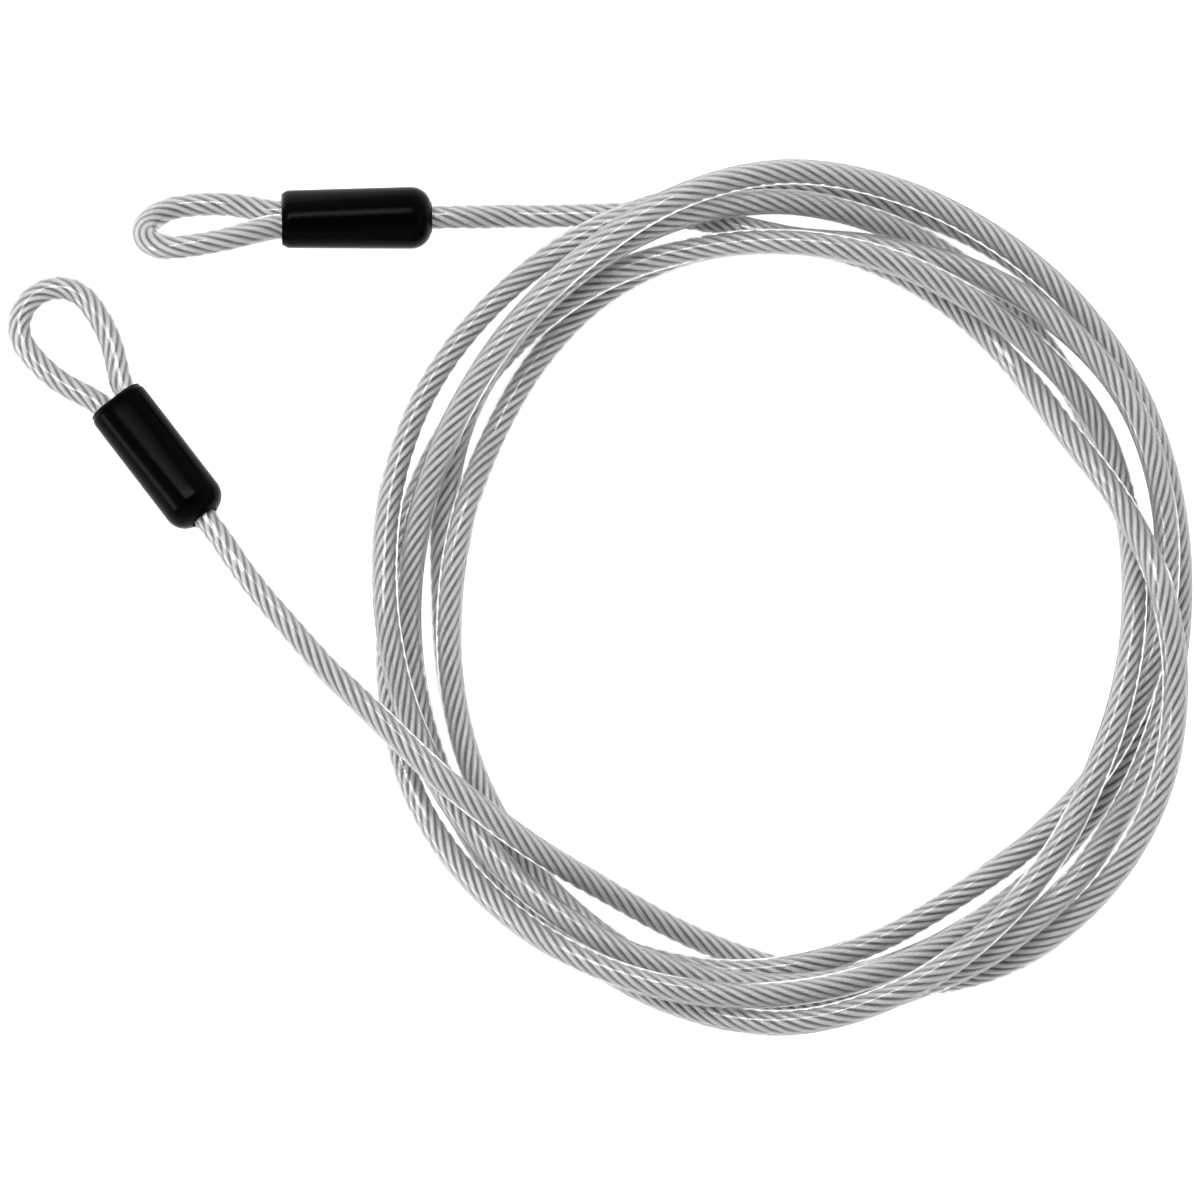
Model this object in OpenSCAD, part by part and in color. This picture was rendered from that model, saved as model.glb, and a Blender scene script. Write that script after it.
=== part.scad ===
// Double-loop security cable. One wire rope in a clear jacket lies in a loose coil. At each end it is
// turned back into a teardrop eye, which a swaged ferrule holds under a moulded cover.
// The coil lies in X and Y, Z is up, and the origin is on the floor under the middle of the whole.

/* [Cable] */
// Outer diameter of the jacketed cable
cable_d = 10; // [9:0.5:11]
// Wall of the clear jacket
jacket_wall = 1.9; // [1.7:0.1:2.1]
// Gap between the rope and the jacket, all round
bore_gap = 0.1; // [0.05:0.05:0.2]

/* [Coil] */
// Mean radius of the loops, to the middle of the cable
coil_r = 147; // [130:1:170]

/* [Eyes] */
// Radius of an eye's round end, to the middle of the cable
eye_r = 15; // [12:0.5:18]
// Distance from the cover's mouth to the middle of the round end
eye_reach = 38; // [34:1:60]
// Gap between the two legs of an eye where they leave the cover
leg_gap = 0.6; // [0.4:0.1:1]

/* [Ferrules] */
// Length of a ferrule
ferrule_len = 32; // [24:1:34]
// Wall of a ferrule outside its two bores
ferrule_wall = 1.3; // [1:0.1:1.6]
// Gap between the rope and a ferrule's bore, all round
swage_gap = 0.1; // [0.05:0.05:0.2]

/* [Covers] */
// Length of a cover
cover_len = 58; // [54:1:70]
// Diameter of a cover at its closed end, and its width at the mouth
cover_d = 24; // [23.6:0.2:30]
// Height of a cover at its mouth
mouth_h = 20.6; // [18:0.2:24]
// Rounding of the closed end
end_round = 8; // [6:0.5:9]
// Rounding of the mouth's edge
mouth_round = 3; // [1:0.5:4]
// Wall of the closed end
end_wall = 3; // [2:0.5:4]
// Distance from the closed end to the ferrule
ferrule_from_end = 18; // [16:1:20]
// Gap between a cover and what it holds, all round
cover_gap = 0.3; // [0.2:0.1:0.4]

/* [Lie of the ends] */
// Tilt of the plane of eye A about its cover's axis
roll_a = 52; // [30:1:60]
// Rise of end A from the floor towards its eye
rise_a = 2.9; // [2:0.1:4]
// Fall of end B towards its eye
fall_b = 8; // [6:1:14]

/* [Hidden] */
$fn = 48;

cable_r = cable_d / 2;
jacket_bore_r = cable_r - jacket_wall;
rope_r = jacket_bore_r - bore_gap;
// Where the cable lies on the floor it is cut flat, this deep
flat_cut = cable_d / 10;
lowest_z = cable_r - flat_cut;
leg_y = cable_r + leg_gap / 2;
ferrule_bore_r = rope_r + swage_gap;
ferrule_r = ferrule_bore_r + ferrule_wall;
cavity_r = max(ferrule_r, cable_r) + cover_gap;

// ---- Small functions ----

function unit(v) = v / norm(v);
function keep_in(k, list) = min(max(k, 0), len(list) - 1);
// Smooth curve through four neighbouring values, f of the way from b to c
function spline(a, b, c, d, f) =
    0.5 * (2 * b + (c - a) * f + (2 * a - 5 * b + 4 * c - d) * f * f + (3 * b - a - 3 * c + d) * f * f * f);
function bezier(a, b, c, d, f) =
    pow(1 - f, 3) * a + 3 * pow(1 - f, 2) * f * b + 3 * (1 - f) * f * f * c + pow(f, 3) * d;
function turn_x(p, a) = [p.x, p.y * cos(a) - p.z * sin(a), p.y * sin(a) + p.z * cos(a)];
function turn_y(p, a) = [p.x * cos(a) + p.z * sin(a), p.y, p.z * cos(a) - p.x * sin(a)];
function turn_z(p, a) = [p.x * cos(a) - p.y * sin(a), p.x * sin(a) + p.y * cos(a), p.z];

// ---- The coil ----
// Angles run clockwise from the +Y side and keep counting from turn to turn.

first_angle = -30;
last_angle = 2055;
rings_per_turn = 24;
coil_sides = 6;
// How far the cable swings out of the mean radius at each clock hour from -30 degrees, in tenths of cable_d
swings = [
    24, -8, -2, 5, -1, -9, -14, -4, 2, -10, -16, -6,
    1, 5, -1, -10, -9, -3, -1, 3, 3, 3, 6, 12,
    12, 10, 12, 9, 2, -2, -1, 6, 13, 14, 4, -3,
    -6, -11, -12, -9, -13, -10, 4, 17, 10, 2, -3, -4,
    3, 16, 14, 10, 5, 6, 11, 10, 0, -10, -19, -19,
    -10, -8, -16, -21, -3, 15, 17, -4, -15, 0, 35];
hour = 30;
swings_from = -30;
// Turns laid later lie under earlier ones, except here: [turns apart, from, to], angles of the earlier turn
later_on_top = [
    [1, -30, 0], [1, 160, 240], [1, 446, 585], [1, 825, 899], [1, 968, 1060], [1, 1520, 1572],
    [1, 1650, 1690], [2, -30, -10], [2, 165, 215], [2, 380, 535], [2, 680, 860], [2, 1133, 1175],
    [2, 1310, 1345], [3, -30, 40], [3, 90, 145], [3, 190, 235], [3, 275, 360], [3, 460, 500],
    [3, 798, 835], [3, 930, 985], [4, -30, -10], [4, 178, 307], [4, 410, 465], [4, 588, 625],
    [5, 75, 110], [5, 215, 245]];
// Centres of turns that lie on each other stay this far apart
lay_gap = 1.06 * cable_d;
// How far the cable sags in one smoothing step where nothing holds it up
sag_step = 0.15 * cable_d;
laying_steps = 40;
ring_step = 360 / rings_per_turn;
ring_count = (last_angle - first_angle) / ring_step + 1;
turns_apart_max = 5;

function swing_at(k) =
    k < 0 ? 2 * swings[0] - swings[1] : swings[keep_in(k, swings)];
function radius_at(angle) =
    let (u = (angle - swings_from) / hour, k = floor(u))
    coil_r + spline(swing_at(k - 1), swing_at(k), swing_at(k + 1), swing_at(k + 2), u - k) * cable_d / 10;
function angle_of(k) = first_angle + k * ring_step;

// Turns are set on each other at every ring and half-way between rings: sample 2k is ring k
sample_count = 2 * ring_count - 1;
samples_per_turn = 2 * rings_per_turn;
function at_samples(rings) =
    [for (i = [0:sample_count - 1]) (rings[floor(i / 2)] + rings[ceil(i / 2)]) / 2];
ring_r = [for (k = [0:ring_count - 1]) radius_at(angle_of(k))];
sample_r = at_samples(ring_r);
function later_is_up(apart, angle) =
    len([for (row = later_on_top) if (row[0] == apart && angle >= row[1] && angle <= row[2]) 1]) > 0;
// What each sample lies on: [the other sample, how far above its centre]
lies_on = [for (i = [0:sample_count - 1]) [
    for (apart = [-turns_apart_max:turns_apart_max])
    let (j = i + apart * samples_per_turn, lower = min(i, j))
    if (apart != 0 && j >= 0 && j < sample_count && abs(sample_r[i] - sample_r[j]) < lay_gap)
    let (up = later_is_up(abs(apart), angle_of(lower / 2)) ? max(i, j) : lower)
    if (up == i) [j, sqrt(pow(lay_gap, 2) - pow(sample_r[i] - sample_r[j], 2))]]];
function lifted(z) =
    let (s = at_samples(z),
        short = [for (i = [0:sample_count - 1])
            max([0, for (under = lies_on[i]) s[under[0]] + under[1] - s[i]])])
    [for (k = [0:ring_count - 1])
    z[k] + max(short[max(0, 2 * k - 1)], short[2 * k], short[min(sample_count - 1, 2 * k + 1)])];
function sagged(z) =
    [for (k = [0:ring_count - 1])
    max(lowest_z, (z[keep_in(k - 1, z)] + 2 * z[k] + z[keep_in(k + 1, z)]) / 4 - sag_step)];
function lifted_times(z, n) = n == 0 ? z : lifted_times(lifted(z), n - 1);
function laid(z, n) = n == 0 ? z : laid(lifted_times(sagged(z), 3), n - 1);
// Heights of the cable's middle: it sags, then every stretch is lifted off what it lies on
ring_z = lifted_times(laid([for (k = [0:ring_count - 1]) lowest_z], laying_steps), 8);

wound = [for (k = [0:ring_count - 1])
    [ring_r[k] * sin(angle_of(k)), ring_r[k] * cos(angle_of(k)), ring_z[k]]];
// Both ends run straight and level for one diameter before they meet the leads
start_way = unit([wound[1].x - wound[0].x, wound[1].y - wound[0].y, 0]);
end_way = unit([wound[ring_count - 1].x - wound[ring_count - 2].x,
    wound[ring_count - 1].y - wound[ring_count - 2].y, 0]);
coil_start = wound[0] - start_way * cable_d;
coil_end = wound[ring_count - 1] + end_way * cable_d;
coil_path = concat([coil_start], wound, [coil_end]);

// Gap between two turns at one place: the flats of their six sides face 0, 60 and 120 degrees
function turn_gap(k, f, apart) =
    let (j = k + apart * rings_per_turn,
        dr = (1 - f) * (ring_r[k] - ring_r[j]) + f * (ring_r[k + 1] - ring_r[j + 1]),
        dz = (1 - f) * (ring_z[k] - ring_z[j]) + f * (ring_z[k + 1] - ring_z[j + 1]))
    max([for (face = [0, 60, 120]) abs(dr * cos(face) + dz * sin(face))]) - cable_d * cos(180 / coil_sides);
least_gap = min([
    for (apart = [1:turns_apart_max])
    for (k = [0:ring_count - 2 - apart * rings_per_turn])
    for (f = [0, 0.25, 0.5, 0.75])
    turn_gap(k, f, apart)]);
echo(str("Least gap between turns of the coil: ", least_gap, " mm"));

// ---- The two ends ----
// An end is [middle of the cover's closed end, roll, rise, yaw]. In its own frame X runs from the closed
// end to the eye, Y across the legs and Z through the eye.

end_a_from_coil = [-40, -1.2];
end_b_from_coil = [-55.2, 66];
yaw_a = 181;
yaw_b = 127.5;
end_a_z = cover_d / 2;
end_length = cover_len + eye_reach + eye_r;
// End B comes down to the floor at the tip of its eye
end_b_z = cable_r + end_length * sin(fall_b);
end_a = [[coil_start.x + end_a_from_coil.x, coil_start.y + end_a_from_coil.y, end_a_z],
    roll_a, rise_a, yaw_a];
end_b = [[coil_end.x + end_b_from_coil.x, coil_end.y + end_b_from_coil.y, end_b_z], 0, -fall_b, yaw_b];
function turned(p, end) = turn_z(turn_y(turn_x(p, end[1]), -end[2]), end[3]);
function seated(p, end) = end[0] + turned(p, end);
module seated(end) {
    translate(end[0]) rotate([end[1], -end[2], end[3]]) children();
}

ferrule_x = ferrule_from_end;
ferrule_end_x = ferrule_x + ferrule_len;

// Eye: legs leave the mouth side by side, swing outwards and run into the half circle of the round end
round_x = cover_len + eye_reach;
leg_top = [round_x, eye_r, 0];
ease_at_mouth = [0.25 * eye_reach, 0, 0];
ease_at_round = [0.6 * eye_reach, 0, 0];
leg_bends = 6;
arc_bends = 7;
// The sideways drift of eye A's round end from its cover's axis, across the legs and through the eye
drift_a = [3, -3.5];
drift_b = [0, 0];
function drifted(p, drift) =
    let (along = max(0, p.x - cover_len) / (eye_reach + eye_r))
    p + [0, drift[0], drift[1]] * along * along;
leg_root = [cover_len, leg_y, 0];
leg_points = [for (i = [0:leg_bends])
    bezier(leg_root, leg_root + ease_at_mouth, leg_top - ease_at_round, leg_top, i / leg_bends)];
half_arc = [for (i = [1:arc_bends - 1])
    let (angle = 90 * (1 - i / arc_bends))
    [round_x + eye_r * cos(angle), eye_r * sin(angle), 0]];
half_eye = concat(leg_points, half_arc);
tip = [round_x + eye_r, 0, 0];
function mirrored(list) = [for (i = [len(list) - 1:-1:0]) [list[i].x, -list[i].y, list[i].z]];
free_eye = concat(half_eye, [tip], mirrored(half_eye));
function eye_path(end, drift) =
    [for (p = concat([[ferrule_end_x, leg_y, 0]], free_eye, [[ferrule_end_x, -leg_y, 0]]))
    seated(drifted(p, drift), end)];
tail_x = ferrule_x + 1;
function eye_rope_path(end, drift) = concat(eye_path(end, drift), [seated([tail_x, -leg_y, 0], end)]);

// Leads: straight in the ferrule, then an easing bend to the middle of the closed end, then the route
bend_from = 2;
bend_steps = 6;
bend = [for (i = [0:bend_steps])
    let (f = i / bend_steps)
    [ferrule_x - f * (ferrule_x - bend_from), leg_y * (1 + cos(180 * f)) / 2, 0]];
before_end = [-cable_d, 0, 0];
// Points on the way from each cover to the coil, counted from where the coil begins or ends
route_a = [[-20, -0.6, 3.2]];
route_b = [[-42.4, 48.2, -4], [-34, 37, -2.7], [-24, 25.5, -1.4], [-15, 15.2, -0.4]];
// The last diameter before the coil is straight, and stops a hair short of the coil's own end
face_gap = 0.02;
lead_a_route = concat([for (p = route_a) coil_start + p],
    [coil_start - start_way * cable_d, coil_start - start_way * face_gap]);
lead_b_route = concat([for (p = route_b) coil_end + p],
    [coil_end + end_way * cable_d, coil_end + end_way * face_gap]);
function lead_path(end, route) =
    concat([for (p = bend) seated(p, end)], [seated([0, 0, 0], end), seated(before_end, end)], route);
function lead_rope_path(end, route) =
    concat([seated([ferrule_end_x, leg_y, 0], end)], lead_path(end, route));

// Gap between a lead's free stretch and the coil, without the turns' ends that it runs on from
function lead_gap(lead, from, to) = min([
    for (i = [0:len(lead) - 2])
    for (f = [0, 0.25, 0.5, 0.75])
    for (k = [from:to - 1])
    for (g = [0, 0.25, 0.5, 0.75])
    norm((1 - f) * lead[i] + f * lead[i + 1] - (1 - g) * wound[k] - g * wound[k + 1])]) - cable_d;
echo(str("Least gap between lead A and the coil: ",
    lead_gap(concat([end_a[0]], lead_a_route), 3, ring_count - 1), " mm"));
echo(str("Least gap between lead B and the coil: ",
    lead_gap(concat([end_b[0]], lead_b_route), 0, ring_count - 4), " mm"));

// ---- Sweeping ----

lead_sides = 8;
eye_sides = 12;
up = [0, 0, 1];

// Rings of a tube round a path. A corner of each ring points down, and `facing` is the way that is up.
function path_way(path, i) = unit(path[keep_in(i + 1, path)] - path[keep_in(i - 1, path)]);
function ring(path, i, r, sides, facing) =
    let (way = path_way(path, i), side = unit(cross(way, facing)), top = cross(side, way))
    [for (k = [0:sides - 1])
    let (a = k * 360 / sides - 90)
    path[i] + r * (cos(a) * side + sin(a) * top)];
function rings(path, r, sides, facing) =
    [for (i = [0:len(path) - 1]) each ring(path, i, r, sides, facing)];
// Triangles between ring i and ring i + 1 of a tube whose first point has number `from`
function wall_faces(from, count, sides, outward) =
    [for (i = [0:count - 2])
    for (k = [0:sides - 1])
    let (a = from + i * sides + k, b = from + i * sides + (k + 1) % sides, c = b + sides, d = a + sides)
    each outward ? [[a, b, c], [a, c, d]] : [[a, c, b], [a, d, c]]];
function cap_faces(from, sides, outward) =
    [for (k = [1:sides - 2]) outward ? [from, from + k, from + k + 1] : [from, from + k + 1, from + k]];
function rim_faces(from, inner, sides, outward) =
    [for (k = [0:sides - 1])
    let (a = from + k, b = from + (k + 1) % sides, c = inner + (k + 1) % sides, d = inner + k)
    each outward ? [[a, b, c], [a, c, d]] : [[a, c, b], [a, d, c]]];

module rod(path, r, sides, facing = up) {
    count = len(path);
    last = (count - 1) * sides;
    polyhedron(
        points = rings(path, r, sides, facing),
        faces = concat(wall_faces(0, count, sides, true), cap_faces(0, sides, false),
            cap_faces(last, sides, true)));
}

module hose(path, r, bore_r, sides, facing = up) {
    count = len(path);
    inner = count * sides;
    last = (count - 1) * sides;
    polyhedron(
        points = concat(rings(path, r, sides, facing), rings(path, bore_r, sides, facing)),
        faces = concat(wall_faces(0, count, sides, true), wall_faces(inner, count, sides, false),
            rim_faces(0, inner, sides, false), rim_faces(last, inner + last, sides, true)));
}

module cut_flat_on_floor() {
    reach = 4 * coil_r;
    difference() {
        children();
        translate([-reach, -reach, -reach]) cube([2 * reach, 2 * reach, reach]);
    }
}

// ---- Middle of the whole, which the origin lies under ----

eye_a_path = eye_path(end_a, drift_a);
eye_b_path = eye_path(end_b, drift_b);
facing_a = turned(up, end_a);
facing_b = turned(up, end_b);
reached = concat(rings(coil_path, cable_r, coil_sides, up), rings(eye_a_path, cable_r, eye_sides, facing_a),
    rings(eye_b_path, cable_r, eye_sides, facing_b));
reached_x = [for (p = reached) p.x];
reached_y = [for (p = reached) p.y];
middle = [(min(reached_x) + max(reached_x)) / 2, (min(reached_y) + max(reached_y)) / 2, 0];

module from_middle() {
    translate(-middle) children();
}

// ---- Pieces ----

module rope_colour() {
    color("silver") children();
}

module jacket_colour() {
    color([0.86, 0.87, 0.89]) children();
}

module wire_coil() {
    rope_colour() from_middle() rod(coil_path, rope_r, coil_sides);
}

module jacket_coil() {
    jacket_colour() from_middle() cut_flat_on_floor() hose(coil_path, cable_r, jacket_bore_r, coil_sides);
}

module wire_lead(end, route) {
    rope_colour() from_middle() rod(lead_rope_path(end, route), rope_r, lead_sides);
}

module jacket_lead(end, route) {
    jacket_colour() from_middle() cut_flat_on_floor()
        hose(lead_path(end, route), cable_r, jacket_bore_r, lead_sides);
}

module wire_lead_a() {
    wire_lead(end_a, lead_a_route);
}

module jacket_lead_a() {
    jacket_lead(end_a, lead_a_route);
}

module wire_lead_b() {
    wire_lead(end_b, lead_b_route);
}

module jacket_lead_b() {
    jacket_lead(end_b, lead_b_route);
}

module wire_eye_a() {
    rope_colour() from_middle() rod(eye_rope_path(end_a, drift_a), rope_r, eye_sides, facing_a);
}

module jacket_eye_a() {
    jacket_colour() from_middle() hose(eye_a_path, cable_r, jacket_bore_r, eye_sides, facing_a);
}

module wire_eye_b() {
    rope_colour() from_middle() rod(eye_rope_path(end_b, drift_b), rope_r, eye_sides, facing_b);
}

module jacket_eye_b() {
    jacket_colour() from_middle() hose(eye_b_path, cable_r, jacket_bore_r, eye_sides, facing_b);
}

// A prism of two half rounds and a waist, r high to each side and with its rounds at the two legs, along X
module obround(r, from_x, length) {
    translate([from_x, 0, 0]) rotate([90, 0, 90]) linear_extrude(length) union() {
        square([2 * leg_y, 2 * r], center = true);
        for (side = [-1, 1]) translate([side * leg_y, 0]) circle(r);
    }
}

module along_x(from_x, length, r) {
    translate([from_x, 0, 0]) rotate([0, 90, 0]) cylinder(r = r, h = length);
}

// Swaged sleeve with a bore for each leg
module ferrule(end) {
    color("gainsboro") from_middle() seated(end) difference() {
        obround(ferrule_r, ferrule_x, ferrule_len);
        for (side = [-1, 1])
            translate([0, side * leg_y, 0]) along_x(ferrule_x - 1, ferrule_len + 2, ferrule_bore_r);
    }
}

module ferrule_a() {
    ferrule(end_a);
}

module ferrule_b() {
    ferrule(end_b);
}

// A disc whose edge is rounded at the end x = 0, along X
module rounded_disc(r, edge) {
    edge_steps = 6;
    rotate([90, 0, 90]) rotate_extrude($fn = 32) polygon(concat(
        [[0, 0]],
        [for (i = [0:edge_steps])
            let (a = 90 * i / edge_steps)
            [r - edge + edge * sin(a), edge - edge * cos(a)]],
        [[r, edge + 1], [0, edge + 1]]));
}

// Moulded cover: round and domed at the closed end, a little flatter at the mouth
module cover(end) {
    mouth_r = mouth_h / 2;
    mouth_side = cover_d / 2 - mouth_r;
    color([0.05, 0.05, 0.06]) from_middle() seated(end) difference() {
        hull() {
            rounded_disc(cover_d / 2, end_round);
            for (side = [-1, 1])
                translate([cover_len, side * mouth_side, 0]) mirror([1, 0, 0])
                    rounded_disc(mouth_r, mouth_round);
        }
        along_x(-1, end_wall + 2, cable_r + cover_gap);
        // Inside the dome there is room only for the bend of the cable, behind it for both legs
        along_x(end_wall, end_round, cavity_r + leg_y / 2);
        obround(cavity_r, max(end_wall, end_round), cover_len);
    }
}

module cover_a() {
    cover(end_a);
}

module cover_b() {
    cover(end_b);
}

wire_coil();
jacket_coil();
wire_lead_a();
jacket_lead_a();
wire_lead_b();
jacket_lead_b();
wire_eye_a();
jacket_eye_a();
wire_eye_b();
jacket_eye_b();
ferrule_a();
ferrule_b();
cover_a();
cover_b();
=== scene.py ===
# %% [markdown]
# # A double-loop security cable, piece by piece
#
# The real object is one length of wire rope in clear vinyl, coiled loosely. At each end the rope turns
# back into an eye, a swaged aluminium sleeve grips both legs, and a black vinyl cover hides the sleeve.
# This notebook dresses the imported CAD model: it keeps every place and size and adds what CAD leaves out,
# which here is above all the twist of the strands under the clear jacket.

import math

import bpy
import numpy as np
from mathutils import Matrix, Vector


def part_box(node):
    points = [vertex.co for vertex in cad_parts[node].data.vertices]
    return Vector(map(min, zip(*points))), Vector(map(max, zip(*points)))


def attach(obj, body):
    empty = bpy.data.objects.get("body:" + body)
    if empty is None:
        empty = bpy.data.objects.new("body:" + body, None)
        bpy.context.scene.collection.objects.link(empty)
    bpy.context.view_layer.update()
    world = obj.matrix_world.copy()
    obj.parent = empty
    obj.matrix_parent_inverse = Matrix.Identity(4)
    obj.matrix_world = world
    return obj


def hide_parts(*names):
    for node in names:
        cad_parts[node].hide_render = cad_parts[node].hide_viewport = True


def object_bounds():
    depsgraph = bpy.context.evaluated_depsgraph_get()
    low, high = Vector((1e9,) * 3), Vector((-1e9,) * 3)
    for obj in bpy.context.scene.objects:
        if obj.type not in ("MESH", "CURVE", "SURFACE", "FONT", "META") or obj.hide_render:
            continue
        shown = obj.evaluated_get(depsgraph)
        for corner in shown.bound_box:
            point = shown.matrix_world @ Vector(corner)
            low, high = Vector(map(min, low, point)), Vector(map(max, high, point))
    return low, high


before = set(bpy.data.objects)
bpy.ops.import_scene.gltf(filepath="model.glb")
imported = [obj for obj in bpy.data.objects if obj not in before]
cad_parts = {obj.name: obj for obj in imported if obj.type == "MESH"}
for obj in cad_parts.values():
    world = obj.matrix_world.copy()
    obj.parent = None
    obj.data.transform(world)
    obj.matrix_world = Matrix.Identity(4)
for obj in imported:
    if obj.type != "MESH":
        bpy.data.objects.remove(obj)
cad_low, cad_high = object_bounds()
MM = 0.001
print("CAD box, mm:", [round(v / MM, 1) for v in (*cad_low, *cad_high)])

# %% [markdown]
# ## Camera
#
# The coil lies flat, so the view that explains it is from almost straight above. A long lens from far off
# keeps the turns at the top of the pile nearly as wide as those on the floor.

# %% Camera
VIEW_TILT = 4.0  # degrees from straight above, towards -Y
VIEW_DISTANCE = 3.0  # metres
VIEW_WIDTH = 0.4608  # metres across the picture at the height it is aimed at
VIEW_AIM = Vector((0.0008, 0.0, 0.012))

camera_data = bpy.data.cameras.new("camera")
camera_data.sensor_width = 36.0
camera_data.lens = camera_data.sensor_width * VIEW_DISTANCE / VIEW_WIDTH
camera = bpy.data.objects.new("camera", camera_data)
bpy.context.scene.collection.objects.link(camera)
tilt = math.radians(VIEW_TILT)
camera.location = VIEW_AIM + VIEW_DISTANCE * Vector((0.0, -math.sin(tilt), math.cos(tilt)))
camera.rotation_euler = (tilt, 0.0, 0.0)
bpy.context.scene.camera = camera
print("lens, mm:", round(camera_data.lens, 1))

# %% [markdown]
# ## How the cable lies
#
# The cable is stiff, so it lies in round loops that swing a little in and out, and where two loops cross
# one rests on the other. A physics simulation could drop it, but it would never fall the same way as the
# CAD solid. Instead this repeats the rule that the CAD source uses: radius by angle from a short list of
# swings, height by letting the line sag and then lifting it off whatever it crosses.

# %% Sizes of the cable, in mm
CABLE_D = 10.0
CABLE_R = CABLE_D / 2
JACKET_WALL = 1.9
BORE_GAP = 0.1  # between the rope and its jacket, all round
ROPE_R = CABLE_R - JACKET_WALL - BORE_GAP
COIL_R = 147.0
LEG_GAP = 0.6  # between the two legs of an eye
LEG_Y = (CABLE_D + LEG_GAP) / 2
print("rope across, mm:", round(2 * ROPE_R, 2), " in cable across, mm:", CABLE_D)

# %% The rule for the coil
FIRST_ANGLE, LAST_ANGLE, RINGS_PER_TURN = -30, 2055, 24
SWING_STEP = 30  # degrees between swings, so that each turn has one at every clock hour
# How far the cable swings out of the mean radius at each of them, in mm
SWINGS = [
    24, -8, -2, 5, -1, -9, -14, -4, 2, -10, -16, -6,
    1, 5, -1, -10, -9, -3, -1, 3, 3, 3, 6, 12,
    12, 10, 12, 9, 2, -2, -1, 6, 13, 14, 4, -3,
    -6, -11, -12, -9, -13, -10, 4, 17, 10, 2, -3, -4,
    3, 16, 14, 10, 5, 6, 11, 10, 0, -10, -19, -19,
    -10, -8, -16, -21, -3, 15, 17, -4, -15, 0, 35,
]  # fmt: skip
# Later turns lie under earlier ones, except here: turns apart, from and to angle of the earlier turn
LATER_ON_TOP = [
    (1, -30, 0), (1, 160, 240), (1, 446, 585), (1, 825, 899), (1, 968, 1060), (1, 1520, 1572),
    (1, 1650, 1690), (2, -30, -10), (2, 165, 215), (2, 380, 535), (2, 680, 860), (2, 1133, 1175),
    (2, 1310, 1345), (3, -30, 40), (3, 90, 145), (3, 190, 235), (3, 275, 360), (3, 460, 500),
    (3, 798, 835), (3, 930, 985), (4, -30, -10), (4, 178, 307), (4, 410, 465), (4, 588, 625),
    (5, 75, 110), (5, 215, 245),
]  # fmt: skip
MOST_TURNS_APART = 5
LAY_GAP = 1.06 * CABLE_D  # between the middles of two turns that touch
SAG_STEP = 0.15 * CABLE_D
SETTLING_ROUNDS, LAST_LIFTS = 40, 8
RING_STEP = 360 / RINGS_PER_TURN
RING_COUNT = int((LAST_ANGLE - FIRST_ANGLE) / RING_STEP) + 1


def between(values, u):
    """Smooth curve through evenly spaced values, read at the places u."""
    values = np.asarray(values, float)
    k = np.clip(np.floor(u).astype(int), 0, len(values) - 2)
    f = u - k
    a, b, c, d = (values[np.clip(k + step, 0, len(values) - 1)] for step in (-1, 0, 1, 2))
    return 0.5 * (
        2 * b + (c - a) * f + (2 * a - 5 * b + 4 * c - d) * f**2 + (3 * b - a - 3 * c + d) * f**3
    )


ring_angle = FIRST_ANGLE + RING_STEP * np.arange(RING_COUNT)
# One more swing before the first keeps the start's curve from flattening
led_in = [2 * SWINGS[0] - SWINGS[1], *SWINGS]
ring_r = COIL_R + between(led_in, (ring_angle - FIRST_ANGLE) / SWING_STEP + 1)


def at_samples(rings):
    """Values at every ring and half-way between rings."""
    half = np.arange(2 * RING_COUNT - 1)
    return (rings[half // 2] + rings[(half + 1) // 2]) / 2


sample_r = at_samples(ring_r)
upper, lower, rise = [], [], []
for apart in range(1, MOST_TURNS_APART + 1):
    for early in range(len(sample_r) - 2 * RINGS_PER_TURN * apart):
        late = early + 2 * RINGS_PER_TURN * apart
        dr = sample_r[early] - sample_r[late]
        if abs(dr) < LAY_GAP:
            angle = FIRST_ANGLE + RING_STEP * early / 2
            later_up = any(a == apart and low <= angle <= high for a, low, high in LATER_ON_TOP)
            upper.append(late if later_up else early)
            lower.append(early if later_up else late)
            rise.append(math.sqrt(LAY_GAP**2 - dr**2))
upper, lower, rise = np.array(upper), np.array(lower), np.array(rise)


def lifted(z):
    """Heights of the rings, each raised by what it lacks over the turns under it."""
    s = at_samples(z)
    short = np.zeros(len(s) + 2)
    np.maximum.at(short, upper + 1, s[lower] + rise - s[upper])
    k = 2 * np.arange(RING_COUNT) + 1
    return z + np.maximum(short[k], np.maximum(short[k - 1], short[k + 1]))


def sagged(z):
    """Heights of the rings, smoothed and let down by one step, but not into the floor."""
    around = np.concatenate([z[:1], z, z[-1:]])
    return np.maximum(CABLE_R, (around[:-2] + 2 * z + around[2:]) / 4 - SAG_STEP)


ring_z = np.full(RING_COUNT, CABLE_R)
for _ in range(SETTLING_ROUNDS):
    ring_z = lifted(lifted(lifted(sagged(ring_z))))
for _ in range(LAST_LIFTS):
    ring_z = lifted(ring_z)
print("places where one turn lies on another:", len(upper))
print("middle of the topmost turn, mm:", round(ring_z.max(), 1))

# %% [markdown]
# ## How the two ends lie
#
# Each end is a straight cover with an eye in front of it and a lead behind it. It is easiest to describe
# in its own frame, with X from the cover's closed end to the eye, and then to turn and set down whole.

# %% Places of the two ends, in mm
EYE_R, EYE_REACH, COVER_LEN = 15.0, 38.0, 58.0
COVER_D, MOUTH_H = 24.0, 20.6
FERRULE_X, FERRULE_LEN = 18.0, 32.0
BEND_FROM = 2.0  # from the closed end to where the cable begins to bend towards its leg
LEG_IN_BORE, LEG_IN_MOUTH = 4.0, 6.0  # how deep an eye's line starts in the ferrule, and lies in the mouth
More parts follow.
